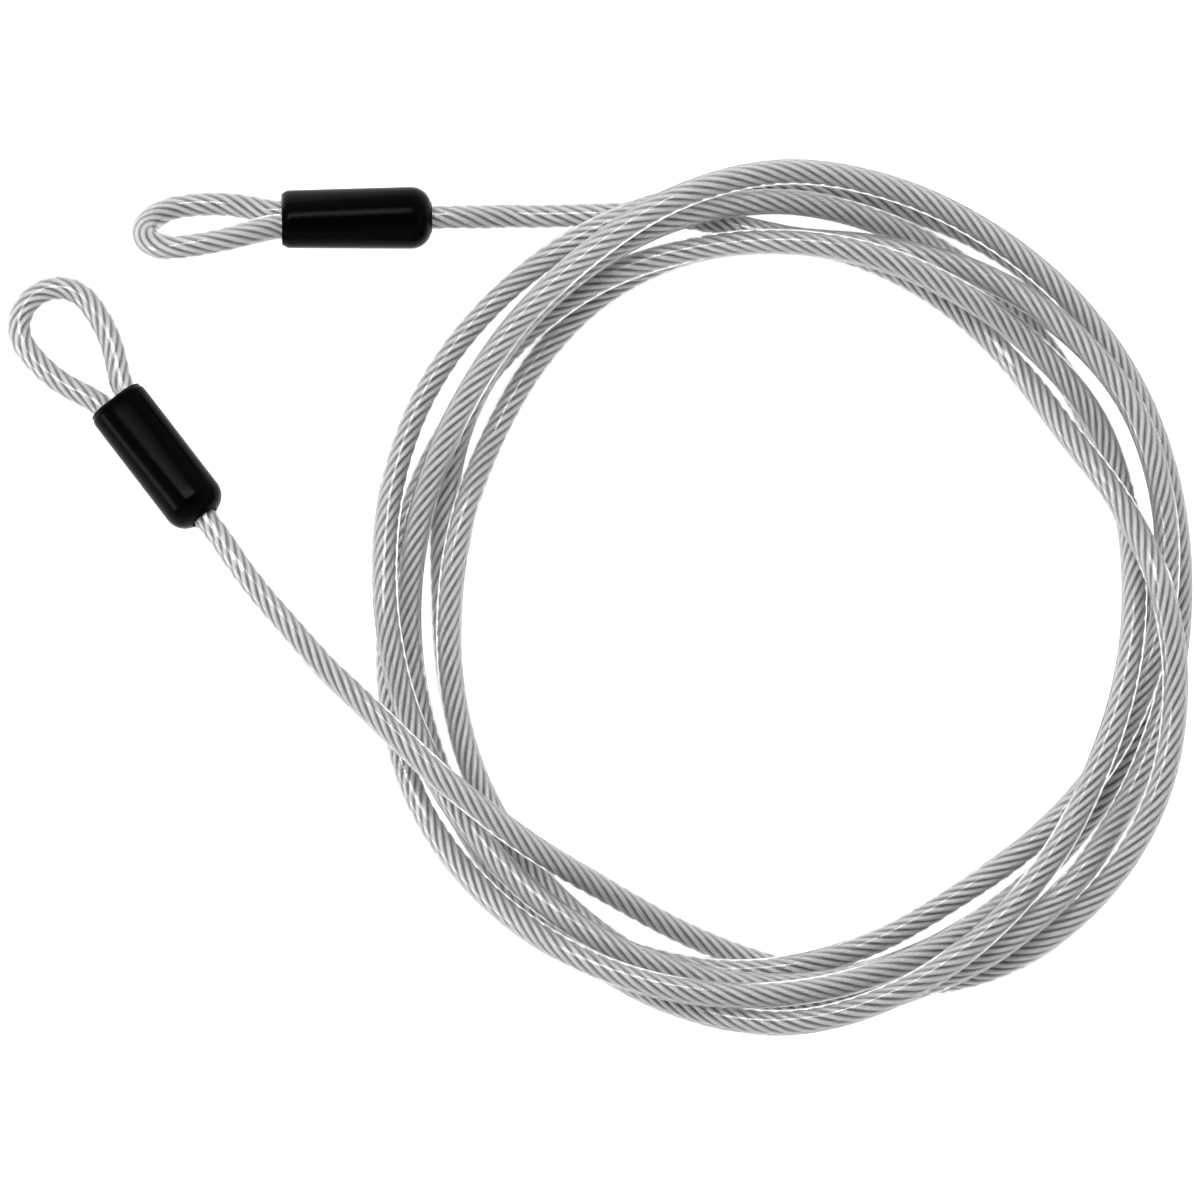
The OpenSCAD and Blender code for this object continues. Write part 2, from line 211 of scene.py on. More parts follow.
# How far a leg keeps its way at the cover and at the round end, as a share of its reach
ROOT_EASE, TOP_EASE = 0.25, 0.6
FALL_B = 8.0  # degrees by which end B runs down to the tip of its eye
BEND_POINTS, LEG_POINTS, ROUND_POINTS = 7, 13, 10


def unit(v):
    return v / np.linalg.norm(v)


def along_coil(k):
    """Middle of the cable at ring k."""
    a = math.radians(ring_angle[k])
    return np.array([ring_r[k] * math.sin(a), ring_r[k] * math.cos(a), ring_z[k]])


start_way = unit((along_coil(1) - along_coil(0)) * (1, 1, 0))
end_way = unit((along_coil(-1) - along_coil(-2)) * (1, 1, 0))
coil_start = along_coil(0) - start_way * CABLE_D
coil_end = along_coil(-1) + end_way * CABLE_D


class End:
    """One end of the cable: the place of its cover's closed end, its roll, rise and yaw in degrees, and
    how far the tip of its eye drifts aside and down, in mm."""

    def __init__(self, place, roll, rise, yaw, drift):
        self.place, self.drift = np.array(place), drift
        r, p, w = map(math.radians, (roll, -rise, yaw))
        about_x = [[1, 0, 0], [0, math.cos(r), -math.sin(r)], [0, math.sin(r), math.cos(r)]]
        about_y = [[math.cos(p), 0, math.sin(p)], [0, 1, 0], [-math.sin(p), 0, math.cos(p)]]
        about_z = [[math.cos(w), -math.sin(w), 0], [math.sin(w), math.cos(w), 0], [0, 0, 1]]
        self.turn = np.array(about_z) @ about_y @ about_x

    def seated(self, points):
        """Points given in the end's own frame, where they lie in the whole."""
        return self.place + np.asarray(points, float) @ self.turn.T


length_b = COVER_LEN + EYE_REACH + EYE_R
end_a = End(
    place=[coil_start[0] - 40, coil_start[1] - 1.2, COVER_D / 2],
    roll=52, rise=2.9, yaw=181, drift=(3, -3.5),
)  # fmt: skip
end_b = End(
    place=[coil_end[0] - 55.2, coil_end[1] + 66, CABLE_R + length_b * math.sin(math.radians(FALL_B))],
    roll=0, rise=-FALL_B, yaw=127.5, drift=(0, 0),
)  # fmt: skip

# The route of each lead between its cover and the coil, counted from where the coil begins or ends
ROUTE_A = [(-20, -0.6, 3.2)]
ROUTE_B = [(-42.4, 48.2, -4), (-34, 37, -2.7), (-24, 25.5, -1.4), (-15, 15.2, -0.4)]


def lead(end, route, coil_tip, way):
    """From the ferrule through the closed end to the coil: an easing bend, then the route."""
    f = np.linspace(0, 1, BEND_POINTS)
    bend = np.c_[
        FERRULE_X - f * (FERRULE_X - BEND_FROM), LEG_Y * (1 + np.cos(math.pi * f)) / 2, 0 * f
    ]
    return np.concatenate(
        [end.seated(bend), end.seated([(0, 0, 0), (-CABLE_D, 0, 0)]), coil_tip + route,
         [coil_tip + way * CABLE_D, coil_tip]]
    )  # fmt: skip


def eye(end):
    """Both legs and the round end of an eye, from deep in one bore to deep in the other."""
    root = np.array([COVER_LEN, LEG_Y, 0])
    top = np.array([COVER_LEN + EYE_REACH, EYE_R, 0])
    f = np.linspace(0, 1, LEG_POINTS)[:, None]
    leg = (
        (1 - f) ** 3 * root
        + 3 * (1 - f) ** 2 * f * (root + (ROOT_EASE * EYE_REACH, 0, 0))
        + 3 * (1 - f) * f**2 * (top - (TOP_EASE * EYE_REACH, 0, 0))
        + f**3 * top
    )
    turn = math.pi / 2 * (1 - np.arange(1, ROUND_POINTS + 1) / (ROUND_POINTS + 1))
    round_end = np.c_[top[0] + EYE_R * np.cos(turn), EYE_R * np.sin(turn), 0 * turn]
    inside = [(FERRULE_X + LEG_IN_BORE, LEG_Y, 0), (COVER_LEN - LEG_IN_MOUTH, LEG_Y, 0)]
    half = np.concatenate([inside, leg, round_end])
    whole = np.concatenate([half, [(top[0] + EYE_R, 0, 0)], half[::-1] * (1, -1, 1)])
    along = np.clip(whole[:, 0] - COVER_LEN, 0, None) / (EYE_REACH + EYE_R)
    whole[:, 1] += end.drift[0] * along**2
    whole[:, 2] += end.drift[1] * along**2
    return end.seated(whole)


# %% [markdown]
# ## One smooth line for the whole cable
#
# Points that are far apart in the coil and close together at the bends would make an ordinary spline
# swing, so the line runs through them by the root of the distance between them. Then it is cut into
# equal steps, because the twist of the strands has to be even along the cable.


# %% Smooth line and equal steps
def smooth(points, fine=16):
    """Smooth line through the points, with so many fine steps between each two of them."""
    p = np.asarray(points, float)
    t = np.concatenate([[0], np.cumsum(np.linalg.norm(np.diff(p, axis=0), axis=1) ** 0.5)])
    slope = np.diff(p, axis=0) / np.diff(t)[:, None]
    step = np.diff(t)[:, None]
    inner = (slope[:-1] * step[1:] + slope[1:] * step[:-1]) / (step[1:] + step[:-1])
    tangent = np.concatenate([slope[:1], inner, slope[-1:]])
    f = np.linspace(0, 1, fine, endpoint=False)[None, :, None]
    a, b = p[:-1, None], p[1:, None]
    u, v = (tangent[:-1] * step)[:, None], (tangent[1:] * step)[:, None]
    line = (
        (2 * f**3 - 3 * f**2 + 1) * a
        + (f**3 - 2 * f**2 + f) * u
        + (3 * f**2 - 2 * f**3) * b
        + (f**3 - f**2) * v
    )
    return np.concatenate([line.reshape(-1, 3), p[-1:]])


def length_of(line):
    return float(np.linalg.norm(np.diff(line, axis=0), axis=1).sum())


def even(line, step):
    """The same line with points at equal distances of about one step."""
    at = np.concatenate([[0], np.cumsum(np.linalg.norm(np.diff(line, axis=0), axis=1))])
    marks = np.linspace(0, at[-1], max(2, round(at[-1] / step)) + 1)
    return np.stack([np.interp(marks, at, line[:, k]) for k in range(3)], axis=1)


# Most of the first and the last step is left to the smooth line, which joins coil and lead without a kink
LEFT_OPEN, STEPS_PER_RING = 0.8, 12
fine_u = np.arange(LEFT_OPEN, RING_COUNT - 1 - LEFT_OPEN, 1 / STEPS_PER_RING)
fine_angle = np.radians(FIRST_ANGLE + RING_STEP * fine_u)
fine_r = between(ring_r, fine_u)
fine_z = np.maximum(CABLE_R, between(ring_z, fine_u))
loops = np.c_[fine_r * np.sin(fine_angle), fine_r * np.cos(fine_angle), fine_z]
main_line = smooth(
    np.concatenate([
        lead(end_a, ROUTE_A, coil_start, -start_way),
        loops,
        lead(end_b, ROUTE_B, coil_end, end_way)[::-1],
    ])
)
eye_line_a, eye_line_b = smooth(eye(end_a)), smooth(eye(end_b))

# The coil's own centre isn't the origin: the middle of a ferrule's box shows where the frame lies
ferrule_low, ferrule_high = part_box("ferrule_a")
ferrule_middle = np.array((ferrule_low + ferrule_high) / 2) / MM
middle = end_a.seated((FERRULE_X + FERRULE_LEN / 2, 0, 0)) - ferrule_middle
middle[2] = 0
main_line, eye_line_a, eye_line_b = (line - middle for line in (main_line, eye_line_a, eye_line_b))
print("middle of the whole from the coil's centre, mm:", middle.round(2))
print("cable between the ferrules, m:", round(length_of(main_line) * MM, 3))

# %% [markdown]
# ## Materials
#
# Each finish is built from the real stuff it stands for: galvanised steel wire, clear plasticised PVC,
# black moulded vinyl, swaged aluminium. One function adds a node with its settings and links, and one
# turns a hex colour as a painter would name it into the linear values that the renderer needs. A pattern
# runs from 0 to 1 across its piece, so its scale is the size of the piece over the size of one grain.


# %% Colour and node helpers
def linear(hex_colour):
    """An sRGB hex colour as linear red, green, blue and 1."""
    parts = [int(hex_colour[k : k + 2], 16) / 255 for k in (1, 3, 5)]
    return (*[c / 12.92 if c <= 0.04045 else ((c + 0.055) / 1.055) ** 2.4 for c in parts], 1.0)


def add(material, kind, settings=None, **inputs):
    """Adds a node. An input is a value, or the socket to link it to. _ in a name stands for a space, and
    _0, _1 and so on are the inputs by number."""
    tree = material.node_tree
    node = tree.nodes.new(kind)
    for name, value in (settings or {}).items():
        setattr(node, name, value)
    for name, value in inputs.items():
        key = int(name[1:]) if name[1:].isdigit() else name.replace("_", " ")
        if isinstance(value, bpy.types.NodeSocket):
            tree.links.new(value, node.inputs[key])
        else:
            node.inputs[key].default_value = value
    return node


def blank(name):
    """A material with nothing in it yet."""
    material = bpy.data.materials.new(name)
    material.use_nodes = True
    material.node_tree.nodes.clear()
    return material


def ramp(material, value, stops):
    """A colour ramp through (place, hex colour) stops."""
    node = add(material, "ShaderNodeValToRGB", Fac=value)
    while len(node.color_ramp.elements) < len(stops):
        node.color_ramp.elements.new(0.5)
    for element, (place, colour) in zip(node.color_ramp.elements, stops):
        element.position, element.color = place, linear(colour)
    return node.outputs["Color"]


# %% [markdown]
# ### Galvanised steel wire
#
# Zinc on drawn wire: a metal, not mirror bright, since hot-dip zinc dries to a slightly uneven grey skin.
# The strands are real geometry. The wires inside a strand are under a millimetre thick, so they are a
# bump, with painted shade between them in the colour. In a regular-lay rope they twist against their
# strand and so run nearly along the rope. The grooves between strands are painted darker, as painted
# shade.

# %% Galvanised wire
STRANDS = 6
LAY = 37.0  # mm of rope for one full turn of a strand
WIRE_D = 0.66  # mm
WIRE_SLANT = math.tan(math.radians(20))  # of the wires in a strand against the strand
STRAND_HALF = math.pi * ROPE_R / STRANDS  # mm round the rope from crown to groove
COIL_SPAN = (cad_high[0] - cad_low[0]) / MM  # mm across the whole, a little more than the main rope
ZINC_GRAIN = 1.087  # mm
print("crown to groove, mm:", round(STRAND_HALF, 2))
print("scale of the zinc:", round(COIL_SPAN / ZINC_GRAIN, 1))

galvanised_wire = blank("galvanised_steel_wire")
lay_map = add(galvanised_wire, "ShaderNodeUVMap", {"uv_map": "lay"})
parts = add(galvanised_wire, "ShaderNodeSeparateXYZ", Vector=lay_map.outputs["UV"])
# The map holds mm along the rope and mm across the strand, so the slant of the wires is a plain sum
across = add(
    galvanised_wire, "ShaderNodeMath", {"operation": "MULTIPLY_ADD"},
    _0=parts.outputs["X"], _1=WIRE_SLANT, _2=parts.outputs["Y"],
)  # fmt: skip
phase = add(
    galvanised_wire, "ShaderNodeMath", {"operation": "MULTIPLY"},
    _0=across.outputs[0], _1=2 * math.pi / WIRE_D,
)  # fmt: skip
wires = add(galvanised_wire, "ShaderNodeMath", {"operation": "SINE"}, _0=phase.outputs[0])
zinc = add(
    galvanised_wire, "ShaderNodeTexNoise", Scale=COIL_SPAN / ZINC_GRAIN, Detail=3.0, Roughness=0.6
)
# Random zinc tone, plus painted shade: the wire stripes make the colour darker between the wires
zinc_tone_and_wire_shade = add(
    galvanised_wire, "ShaderNodeMath", {"operation": "MULTIPLY_ADD"},
    _0=wires.outputs[0], _1=0.15, _2=zinc.outputs["Fac"],
)  # fmt: skip
zinc_colour = ramp(
    galvanised_wire, zinc_tone_and_wire_shade.outputs[0], [(0.25, "#BEBEBE"), (0.5, "#D5D5D5"), (0.8, "#EAEAEA")]
)
depth = add(
    galvanised_wire, "ShaderNodeMath", {"operation": "ABSOLUTE"}, _0=parts.outputs["Y"]
)
# Painted shade: towards the grooves the colour is mixed down to #6E6E6E, standing in for the shade that
# falls there
groove = add(
    galvanised_wire, "ShaderNodeMapRange", Value=depth.outputs[0],
    From_Min=0.35 * STRAND_HALF, From_Max=0.95 * STRAND_HALF, To_Min=0.0, To_Max=0.9,
)  # fmt: skip
wire_colour = add(
    galvanised_wire, "ShaderNodeMix", {"data_type": "RGBA"},
    _0=groove.outputs["Result"], _6=zinc_colour, _7=linear("#6E6E6E"),
)  # fmt: skip
wire_bump = add(
    galvanised_wire, "ShaderNodeBump", Strength=0.5, Distance=0.00012, Height=wires.outputs[0]
)
wire_shader = add(
    galvanised_wire, "ShaderNodeBsdfPrincipled", Base_Color=wire_colour.outputs[2],
    Metallic=0.55, Roughness=0.55, Normal=wire_bump.outputs["Normal"],
)  # fmt: skip
add(galvanised_wire, "ShaderNodeOutputMaterial", Surface=wire_shader.outputs[0])

# %% [markdown]
# ### Clear plasticised PVC
#
# The jacket is extruded over the rope: glossy, faintly milky, and thick enough to bend light, which gives
# the cable its bright clear edges. Lamps would not find their way through real glass in few samples, so
# for shadow rays alone the jacket is a plain see-through film.

# %% Clear vinyl
HAZE_SIZE = 5.07  # mm, the clouds of slightly duller skin that the extruder leaves
clear_vinyl = blank("clear_plasticised_pvc")
haze = add(clear_vinyl, "ShaderNodeTexNoise", Scale=COIL_SPAN / HAZE_SIZE, Detail=2.0)
print("scale of the haze:", round(COIL_SPAN / HAZE_SIZE, 1))
haze_roughness = add(
    clear_vinyl, "ShaderNodeMapRange", Value=haze.outputs["Fac"],
    From_Min=0.35, From_Max=0.65, To_Min=0.09, To_Max=0.15,
)  # fmt: skip
vinyl = add(
    clear_vinyl, "ShaderNodeBsdfPrincipled", Base_Color=linear("#F6F6F5"), IOR=1.53,
    Roughness=haze_roughness.outputs["Result"], Transmission_Weight=1.0,
)  # fmt: skip
film = add(clear_vinyl, "ShaderNodeBsdfTransparent", Color=linear("#E0E0DF"))
ray = add(clear_vinyl, "ShaderNodeLightPath")
jacket_shader = add(
    clear_vinyl, "ShaderNodeMixShader",
    _0=ray.outputs["Is Shadow Ray"], _1=vinyl.outputs[0], _2=film.outputs[0],
)  # fmt: skip
add(clear_vinyl, "ShaderNodeOutputMaterial", Surface=jacket_shader.outputs[0])

# %% [markdown]
# ### Black moulded vinyl and swaged aluminium
#
# The covers are soft black vinyl from a polished mould: almost black, glossy, with the faint ripple that
# soft plastic keeps. Its shine is set low, because plasticiser and dust dull all but the strongest lamp.
# The ferrules are plain aluminium with the fine marks of the swaging dies.

# %% Black vinyl
RIPPLE_SIZE, SCUFF_SIZE = 0.3625, 0.0829  # mm along the cover
black_vinyl = blank("black_moulded_vinyl")
ripple = add(black_vinyl, "ShaderNodeTexNoise", Scale=COVER_LEN / RIPPLE_SIZE, Detail=2.0)
ripple_bump = add(
    black_vinyl, "ShaderNodeBump", Strength=0.25, Distance=0.0001, Height=ripple.outputs["Fac"]
)
scuff = add(black_vinyl, "ShaderNodeTexNoise", Scale=COVER_LEN / SCUFF_SIZE, Detail=4.0)
scuff_roughness = add(
    black_vinyl, "ShaderNodeMapRange", Value=scuff.outputs["Fac"],
    From_Min=0.3, From_Max=0.7, To_Min=0.12, To_Max=0.18,
)  # fmt: skip
black_shader = add(
    black_vinyl, "ShaderNodeBsdfPrincipled", Base_Color=linear("#020202"), IOR=1.5,
    Specular_IOR_Level=0.03, Roughness=scuff_roughness.outputs["Result"],
    Normal=ripple_bump.outputs["Normal"],
)  # fmt: skip
add(black_vinyl, "ShaderNodeOutputMaterial", Surface=black_shader.outputs[0])
print("scales of ripple and scuffs:", round(COVER_LEN / RIPPLE_SIZE), round(COVER_LEN / SCUFF_SIZE))

# %% Swaged aluminium
DIE_MARK = 0.0914  # mm
swaged_aluminium = blank("swaged_aluminium")
die_marks = add(swaged_aluminium, "ShaderNodeTexNoise", Scale=FERRULE_LEN / DIE_MARK, Detail=5.0)
die_bump = add(
    swaged_aluminium, "ShaderNodeBump", Strength=0.3, Distance=0.0001, Height=die_marks.outputs["Fac"]
)
aluminium_shader = add(
    swaged_aluminium, "ShaderNodeBsdfPrincipled", Base_Color=linear("#C9CBCD"), Metallic=1.0,
    Roughness=0.38, Normal=die_bump.outputs["Normal"],
)  # fmt: skip
add(swaged_aluminium, "ShaderNodeOutputMaterial", Surface=aluminium_shader.outputs[0])
for name in ("ferrule_a", "ferrule_b"):
    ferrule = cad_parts[name]
    ferrule.data.materials.clear()
    ferrule.data.materials.append(swaged_aluminium)
print("scale of the die marks:", round(FERRULE_LEN / DIE_MARK))

# %% [markdown]
# ## Sweeping a section along a line
#
# Both the rope and its jacket are one section carried along the line. Blender's curve bevel could do it
# for the jacket, but the rope's section has to turn evenly as it goes, so a small sweep of our own lays
# rings of points and joins them. The rings never twist by themselves: each one is the last one turned
# just enough to face along the line.


# %% Sweep
def frames(line):
    """Way, right side and underside at each point of a line, without twist from point to point."""
    way = np.gradient(line, axis=0)
    way /= np.linalg.norm(way, axis=1)[:, None]
    side = np.zeros_like(line)
    first = np.cross(way[0], (0, 0, 1))
    side[0] = first / np.linalg.norm(first)
    for k in range(1, len(line)):
        s = side[k - 1] - way[k] * (side[k - 1] @ way[k])
        side[k] = s / np.linalg.norm(s)
    return way, side, np.cross(way, side)


def rings_of(line, angle, radius):
    """Points round each place of a line, by angle and radius in mm, as rows of rings."""
    _, side, under = frames(line)
    across = (radius * np.cos(angle))[..., None] * side[:, None]
    return line[:, None] + across + (radius * np.sin(angle))[..., None] * under[:, None]


def tube_faces(rings, sides, first=0, flip=False):
    """Four-sided faces between rings of points that follow each other from the point numbered first."""
    i, k = np.meshgrid(np.arange(rings - 1), np.arange(sides), indexing="ij")
    a = first + i * sides + k
    b = first + i * sides + (k + 1) % sides
    quads = np.stack([a, b, b + sides, a + sides], axis=-1).reshape(-1, 4)
    return quads[:, ::-1] if flip else quads


def piece(name, points, faces, material, stands_for):
    """A smooth mesh from points in mm, which rides on the whole and replaces its CAD nodes."""
    mesh = bpy.data.meshes.new(name)
    mesh.from_pydata((np.asarray(points) * MM).tolist(), [], [list(map(int, f)) for f in faces])
    mesh.polygons.foreach_set("use_smooth", [True] * len(mesh.polygons))
    mesh.materials.append(material)
    mesh.update()
    made = bpy.data.objects.new(name, mesh)
    bpy.context.scene.collection.objects.link(made)
    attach(made, "root")
    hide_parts(*stands_for)
    print(name, "faces:", len(mesh.polygons))
    return made


# %% [markdown]
# ## The wire rope
#
# Six strands lie side by side round a core, so the section is a ring of six round lobes. The lobes turn
# one full turn to the right in each lay length. The points of the section follow their strand, so every
# face runs along a strand and the grooves stay clean.

# %% Rope section and rope
ROPE_STEP = 2.8  # mm
POINTS_PER_STRAND = 8
STRAND_R = ROPE_R * math.sin(math.pi / STRANDS) / (1 + math.sin(math.pi / STRANDS))
STRAND_RING_R = ROPE_R - STRAND_R

in_strand = (np.arange(POINTS_PER_STRAND) / POINTS_PER_STRAND - 0.5) * 2 * math.pi / STRANDS
# Neighbours touch where the lobe's edge points straight out, so the root is kept from going below zero
lobe = STRAND_RING_R * np.cos(in_strand) + np.sqrt(
    np.maximum(STRAND_R**2 - (STRAND_RING_R * np.sin(in_strand)) ** 2, 0)
)
section_angle = np.concatenate([in_strand + 2 * math.pi * n / STRANDS for n in range(STRANDS)])
section_r = np.tile(lobe, STRANDS)
strand_arc = np.tile(in_strand * ROPE_R, STRANDS)


def rope(name, line, stands_for):
    """A rope along a line, with its map for the wires."""
    line = even(line, ROPE_STEP)
    at = np.linspace(0, length_of(line), len(line))
    angle = section_angle[None] + 2 * math.pi * at[:, None] / LAY
    points = rings_of(line, angle, np.broadcast_to(section_r, angle.shape))
    sides, count = len(section_r), len(line)
    quads = tube_faces(count, sides)
    ends = [list(range(sides))[::-1], [(count - 1) * sides + k for k in range(sides)]]
    made = piece(name, points.reshape(-1, 3), [*quads, *ends], galvanised_wire, stands_for)
    # Across each strand the map runs from its groove over its crown to the next groove, in mm
    uv = made.data.uv_layers.new(name="lay")
    ring_of, side_of = np.divmod(quads, sides)
    v = strand_arc[side_of]
    first_of_strand = side_of % POINTS_PER_STRAND == 0
    last_in_quad = (side_of % POINTS_PER_STRAND == POINTS_PER_STRAND - 1).any(axis=1)
    v = np.where(first_of_strand & last_in_quad[:, None], -v, v)
    flat = np.zeros((len(made.data.loops), 2))
    flat[: quads.size, 0] = at[ring_of].reshape(-1)
    flat[: quads.size, 1] = v.reshape(-1)
    uv.data.foreach_set("uv", flat.reshape(-1))
    return made


main_rope = rope("galvanised_rope", main_line, ["wire_coil", "wire_lead_a", "wire_lead_b"])
rope_a = rope("eye_a_rope", eye_line_a, ["wire_eye_a"])
rope_b = rope("eye_b_rope", eye_line_b, ["wire_eye_b"])

# %% [markdown]
# ## The clear jacket
#
# The vinyl is extruded hot over the rope and fills its outer grooves, so there is no air between the two.
# Light bends only once, at the outside, and the round vinyl works as a lens: the rope seems to fill nearly
# the whole width of the cable. A tube with its bore just outside the rope would let light bend back again
# and show a thin rope with wide glassy rims, so the bore is sunk inside the rope, where nothing shows it.

# %% Jackets
JACKET_STEP, EYE_JACKET_STEP = 3.6, 2.2  # mm
JACKET_SIDES = 24
SUNK_BORE_R = 0.5 * ROPE_R
STOP_SHORT = 2  # mm from each end of the main line


def jacket(name, line, stands_for, step):
    """A clear tube along a line, and the line as it was stepped."""
    line = even(line, step)
    angle = np.linspace(0, 2 * math.pi, JACKET_SIDES, endpoint=False)[None] + np.zeros((len(line), 1))
    outer = rings_of(line, angle, np.full(angle.shape, CABLE_R)).reshape(-1, 3)
    inner = rings_of(line, angle, np.full(angle.shape, SUNK_BORE_R)).reshape(-1, 3)
    count, base = len(line), len(outer)
    rims = []
    for start, flip in ((0, True), ((count - 1) * JACKET_SIDES, False)):
        for k in range(JACKET_SIDES):
            a, b = start + k, start + (k + 1) % JACKET_SIDES
            rim = [a, b, base + b, base + a]
            rims.append(rim[::-1] if flip else rim)
    faces = [
        *tube_faces(count, JACKET_SIDES),
        *tube_faces(count, JACKET_SIDES, base, flip=True),
        *rims,
    ]
    made = piece(name, np.concatenate([outer, inner]), faces, clear_vinyl, stands_for)
    return made, line


# The main jacket stops a little short of the ferrules, inside the covers
short_main_line = even(main_line, 1.0)[STOP_SHORT:-STOP_SHORT]
main_jacket, jacket_line = jacket(
    "clear_jacket", short_main_line, ["jacket_coil", "jacket_lead_a", "jacket_lead_b"], JACKET_STEP
)
jacket_a, jacket_line_a = jacket("eye_a_jacket", eye_line_a, ["jacket_eye_a"], EYE_JACKET_STEP)
jacket_b, jacket_line_b = jacket("eye_b_jacket", eye_line_b, ["jacket_eye_b"], EYE_JACKET_STEP)

for stretch, made, rope_in, line, lay in (
    ("main", main_jacket, main_rope, jacket_line, "coiled"),
    ("eye a", jacket_a, rope_a, jacket_line_a, "loose"),
    ("eye b", jacket_b, rope_b, jacket_line_b, "loose"),
):
    print(stretch, "cable, m:", round(length_of(line) * MM, 3))

# %% [markdown]
# ## The moulded covers
#
# A cover is a soft black cup: round and domed where the cable leaves it, a little flatter at the open
# mouth, where it follows the two legs of the eye. A lathe could not make the flat mouth, so rings of
# points run from the hole over the dome to the mouth, round its lip and back along the inside.

# %% Covers
COVER_SIDES, BODY_RINGS = 64, 12
END_ROUND, MOUTH_ROUND, END_WALL = 8.0, 3.0, 3.0
COVER_GAP = 0.3  # between a cover and the cable, all round
HOLE_R = CAVITY_R = CABLE_R + COVER_GAP
LIP_R, LIP_ROOM = 0.6, 0.1  # soft edge of the hole and the mouth, and the flat rim left round it
# Beside the legs the wall is thin, so the rounding of the mouth stops short there
MOUTH_SIDE = LEG_Y + CAVITY_R + LIP_R + LIP_ROOM
SIDE_PULL = 2.2  # how soon, from the middle, a flat ring is pulled out to its full width

round_way = np.linspace(0, 2 * math.pi, COVER_SIDES, endpoint=False)


def oval(x, half_width, half_height):
    """A ring of points with round sides and a flatter middle, as wide and as high as given."""
    wider = half_width - half_height
    # The round is pulled apart sideways by a soft step from one side to the other
    spread = np.clip(SIDE_PULL * np.cos(round_way), -1, 1)
    spread = spread * (1.5 - 0.5 * spread**2)
    y = wider * spread + half_height * np.cos(round_way)
    return np.c_[np.full(COVER_SIDES, x), y, half_height * np.sin(round_way)]


def arc(steps, start, stop):
    """So many angles from start to stop, given in degrees, in radians."""
    return np.radians(np.linspace(start, stop, steps))


cover_rings = [oval(END_WALL, HOLE_R, HOLE_R), oval(LIP_R, HOLE_R, HOLE_R)]
for t in arc(4, 60, 0):
    r = HOLE_R + LIP_R * (1 - math.sin(t))
    cover_rings.append(oval(LIP_R * (1 - math.cos(t)), r, r))
# The dome is round almost down to the hole, and begins where the hole's soft edge ends
dome_depth = COVER_D / 2 - HOLE_R - LIP_R - LIP_ROOM
dome_start = math.degrees(math.asin(1 - dome_depth / END_ROUND))
for t in arc(10, dome_start, 90):
    r = COVER_D / 2 - END_ROUND * (1 - math.sin(t))
    cover_rings.append(oval(END_ROUND * (1 - math.cos(t)), r, r))
for x in np.linspace(END_ROUND, COVER_LEN - MOUTH_ROUND, BODY_RINGS)[1:]:
    along = (x - END_ROUND) / (COVER_LEN - MOUTH_ROUND - END_ROUND)
    cover_rings.append(oval(x, COVER_D / 2, COVER_D / 2 + (MOUTH_H - COVER_D) / 2 * along))
for t in arc(8, 90, 0)[1:]:
    inset = MOUTH_ROUND * (1 - math.sin(t))
    x = COVER_LEN - MOUTH_ROUND * (1 - math.cos(t))
    cover_rings.append(oval(x, max(COVER_D / 2 - inset, MOUTH_SIDE), MOUTH_H / 2 - inset))
for t in arc(5, 0, 90):
    grow = LIP_R * (1 - math.sin(t))
    x = COVER_LEN - LIP_R * (1 - math.cos(t))
    cover_rings.append(oval(x, LEG_Y + CAVITY_R + grow, CAVITY_R + grow))
# Inside the dome there is room only for the bend of the cable, behind it for both legs
cover_rings.append(oval(END_ROUND, LEG_Y + CAVITY_R, CAVITY_R))
bend_r = CAVITY_R + LEG_Y / 2
cover_rings.append(oval(END_WALL, bend_r, bend_r))
cover_points = np.concatenate(cover_rings)
# The last ring closes on the first one, so the wall is one closed skin
cover_faces = [
    *tube_faces(len(cover_rings), COVER_SIDES),
    *tube_faces(2, COVER_SIDES, (len(cover_rings) - 1) * COVER_SIDES)
    % (len(cover_rings) * COVER_SIDES),
]

for end, letter in ((end_a, "a"), (end_b, "b")):
    piece(
        f"moulded_cover_{letter}", end.seated(cover_points) - middle, cover_faces, black_vinyl,
        [f"cover_{letter}"],
    )  # fmt: skip

# %% [markdown]
# ## Floor and light
#
# A pale studio: a white floor that glows a little, as on a light table, so that the clear edges of the
# jacket pick up white from below. One long soft lamp overhead and one low at the left draw the streaks on
# the covers: a lamp shows on a cover where its skin faces half-way between lamp and camera. The world
# round it is pale, but darker straight above, so that black vinyl stays black.

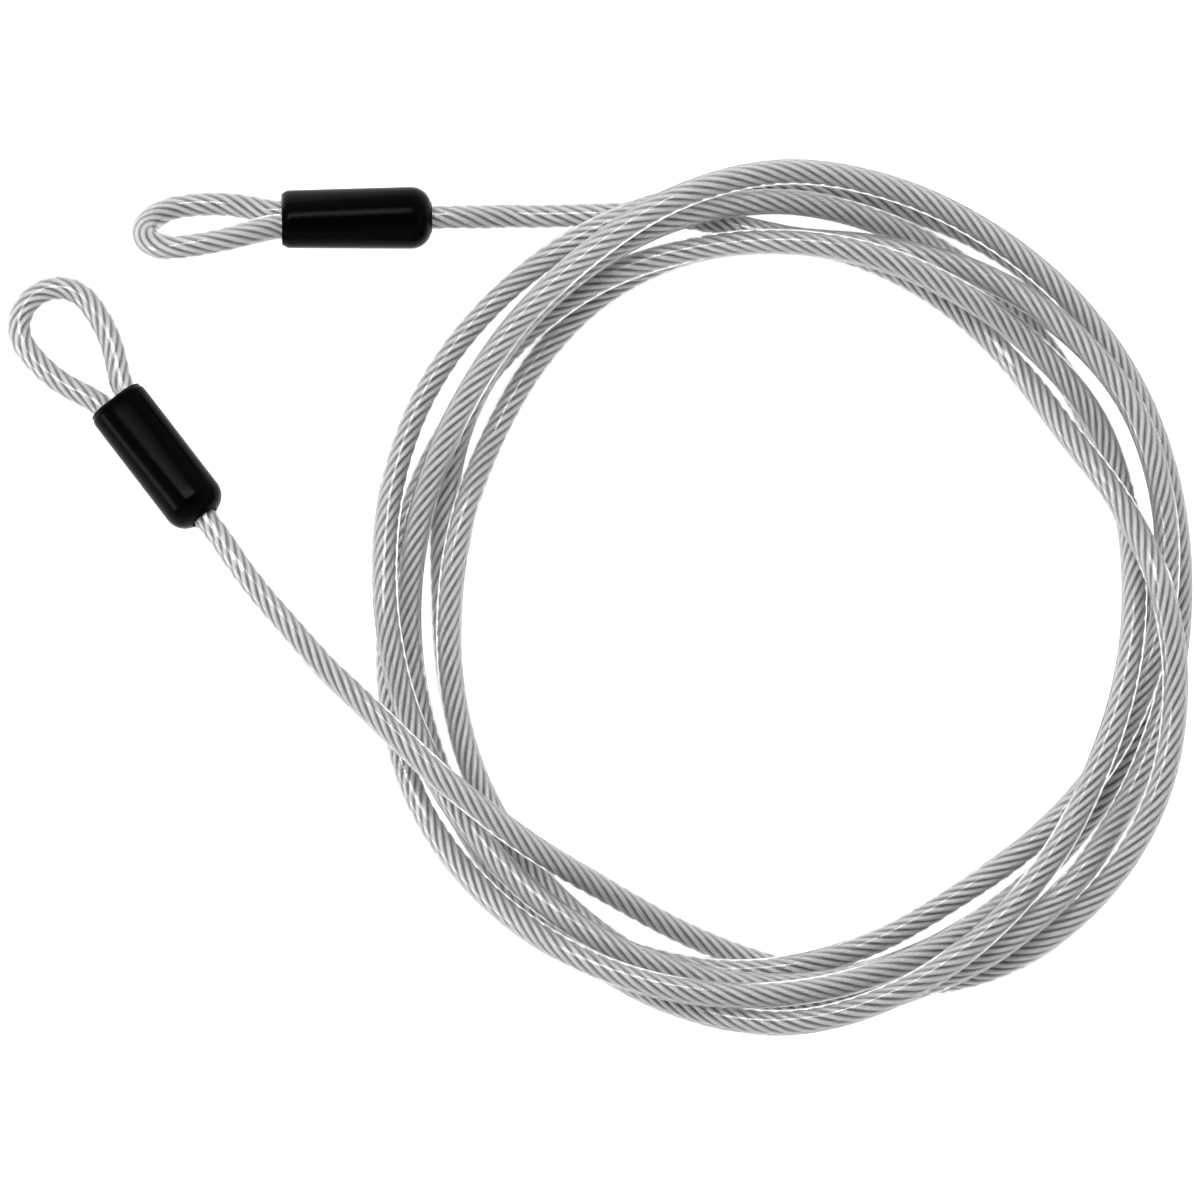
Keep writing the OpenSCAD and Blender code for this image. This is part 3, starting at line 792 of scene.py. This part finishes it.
# %% Floor, lamps and world
FLOOR = 3.0  # metres from its middle to each side
floor_mesh = bpy.data.meshes.new("floor")
floor_mesh.from_pydata(
    [(-FLOOR, -FLOOR, 0), (FLOOR, -FLOOR, 0), (FLOOR, FLOOR, 0), (-FLOOR, FLOOR, 0)], [], [(0, 1, 2, 3)]
)
floor = bpy.data.objects.new("floor", floor_mesh)
bpy.context.scene.collection.objects.link(floor)
pale_floor = blank("pale_floor")
floor_shader = add(
    pale_floor, "ShaderNodeBsdfPrincipled", Base_Color=linear("#F6F6F6"), Roughness=0.9,
    Emission_Color=linear("#FFFFFF"), Emission_Strength=0.75,
)  # fmt: skip
add(pale_floor, "ShaderNodeOutputMaterial", Surface=floor_shader.outputs[0])
floor_mesh.materials.append(pale_floor)


def lamp(name, place, aim, size, watts):
    """A soft rectangular lamp, in metres and watts, that shines towards a point."""
    data = bpy.data.lights.new(name, "AREA")
    data.shape, data.size, data.size_y, data.energy = "RECTANGLE", *size, watts
    made = bpy.data.objects.new(name, data)
    bpy.context.scene.collection.objects.link(made)
    made.location = place
    made.rotation_euler = (Vector(aim) - Vector(place)).to_track_quat("-Z", "Y").to_euler()
    print(name, "lamp, W/m2:", round(watts / (size[0] * size[1]), 1))


lamp("overhead", place=(-0.35, 0.60, 1.60), aim=(0, 0, 0), size=(1.2, 0.3), watts=15)
lamp("low_left", place=(-1.60, -0.48, 0.50), aim=(-0.17, 0.05, 0), size=(0.6, 0.45), watts=6)

world = bpy.data.worlds.new("pale_studio")
bpy.context.scene.world = world
world.use_nodes = True
world.node_tree.nodes.clear()
direction = add(world, "ShaderNodeTexCoord")
height = add(world, "ShaderNodeSeparateXYZ", Vector=direction.outputs["Generated"])
sky = add(
    world, "ShaderNodeMapRange", Value=height.outputs["Z"],
    From_Min=0.6, From_Max=0.95, To_Min=0.93, To_Max=0.12,
)  # fmt: skip
glow = add(world, "ShaderNodeBackground", Color=linear("#FFFFFF"), Strength=sky.outputs["Result"])
add(world, "ShaderNodeOutputWorld", Surface=glow.outputs[0])
bpy.context.scene.view_settings.view_transform = "Standard"
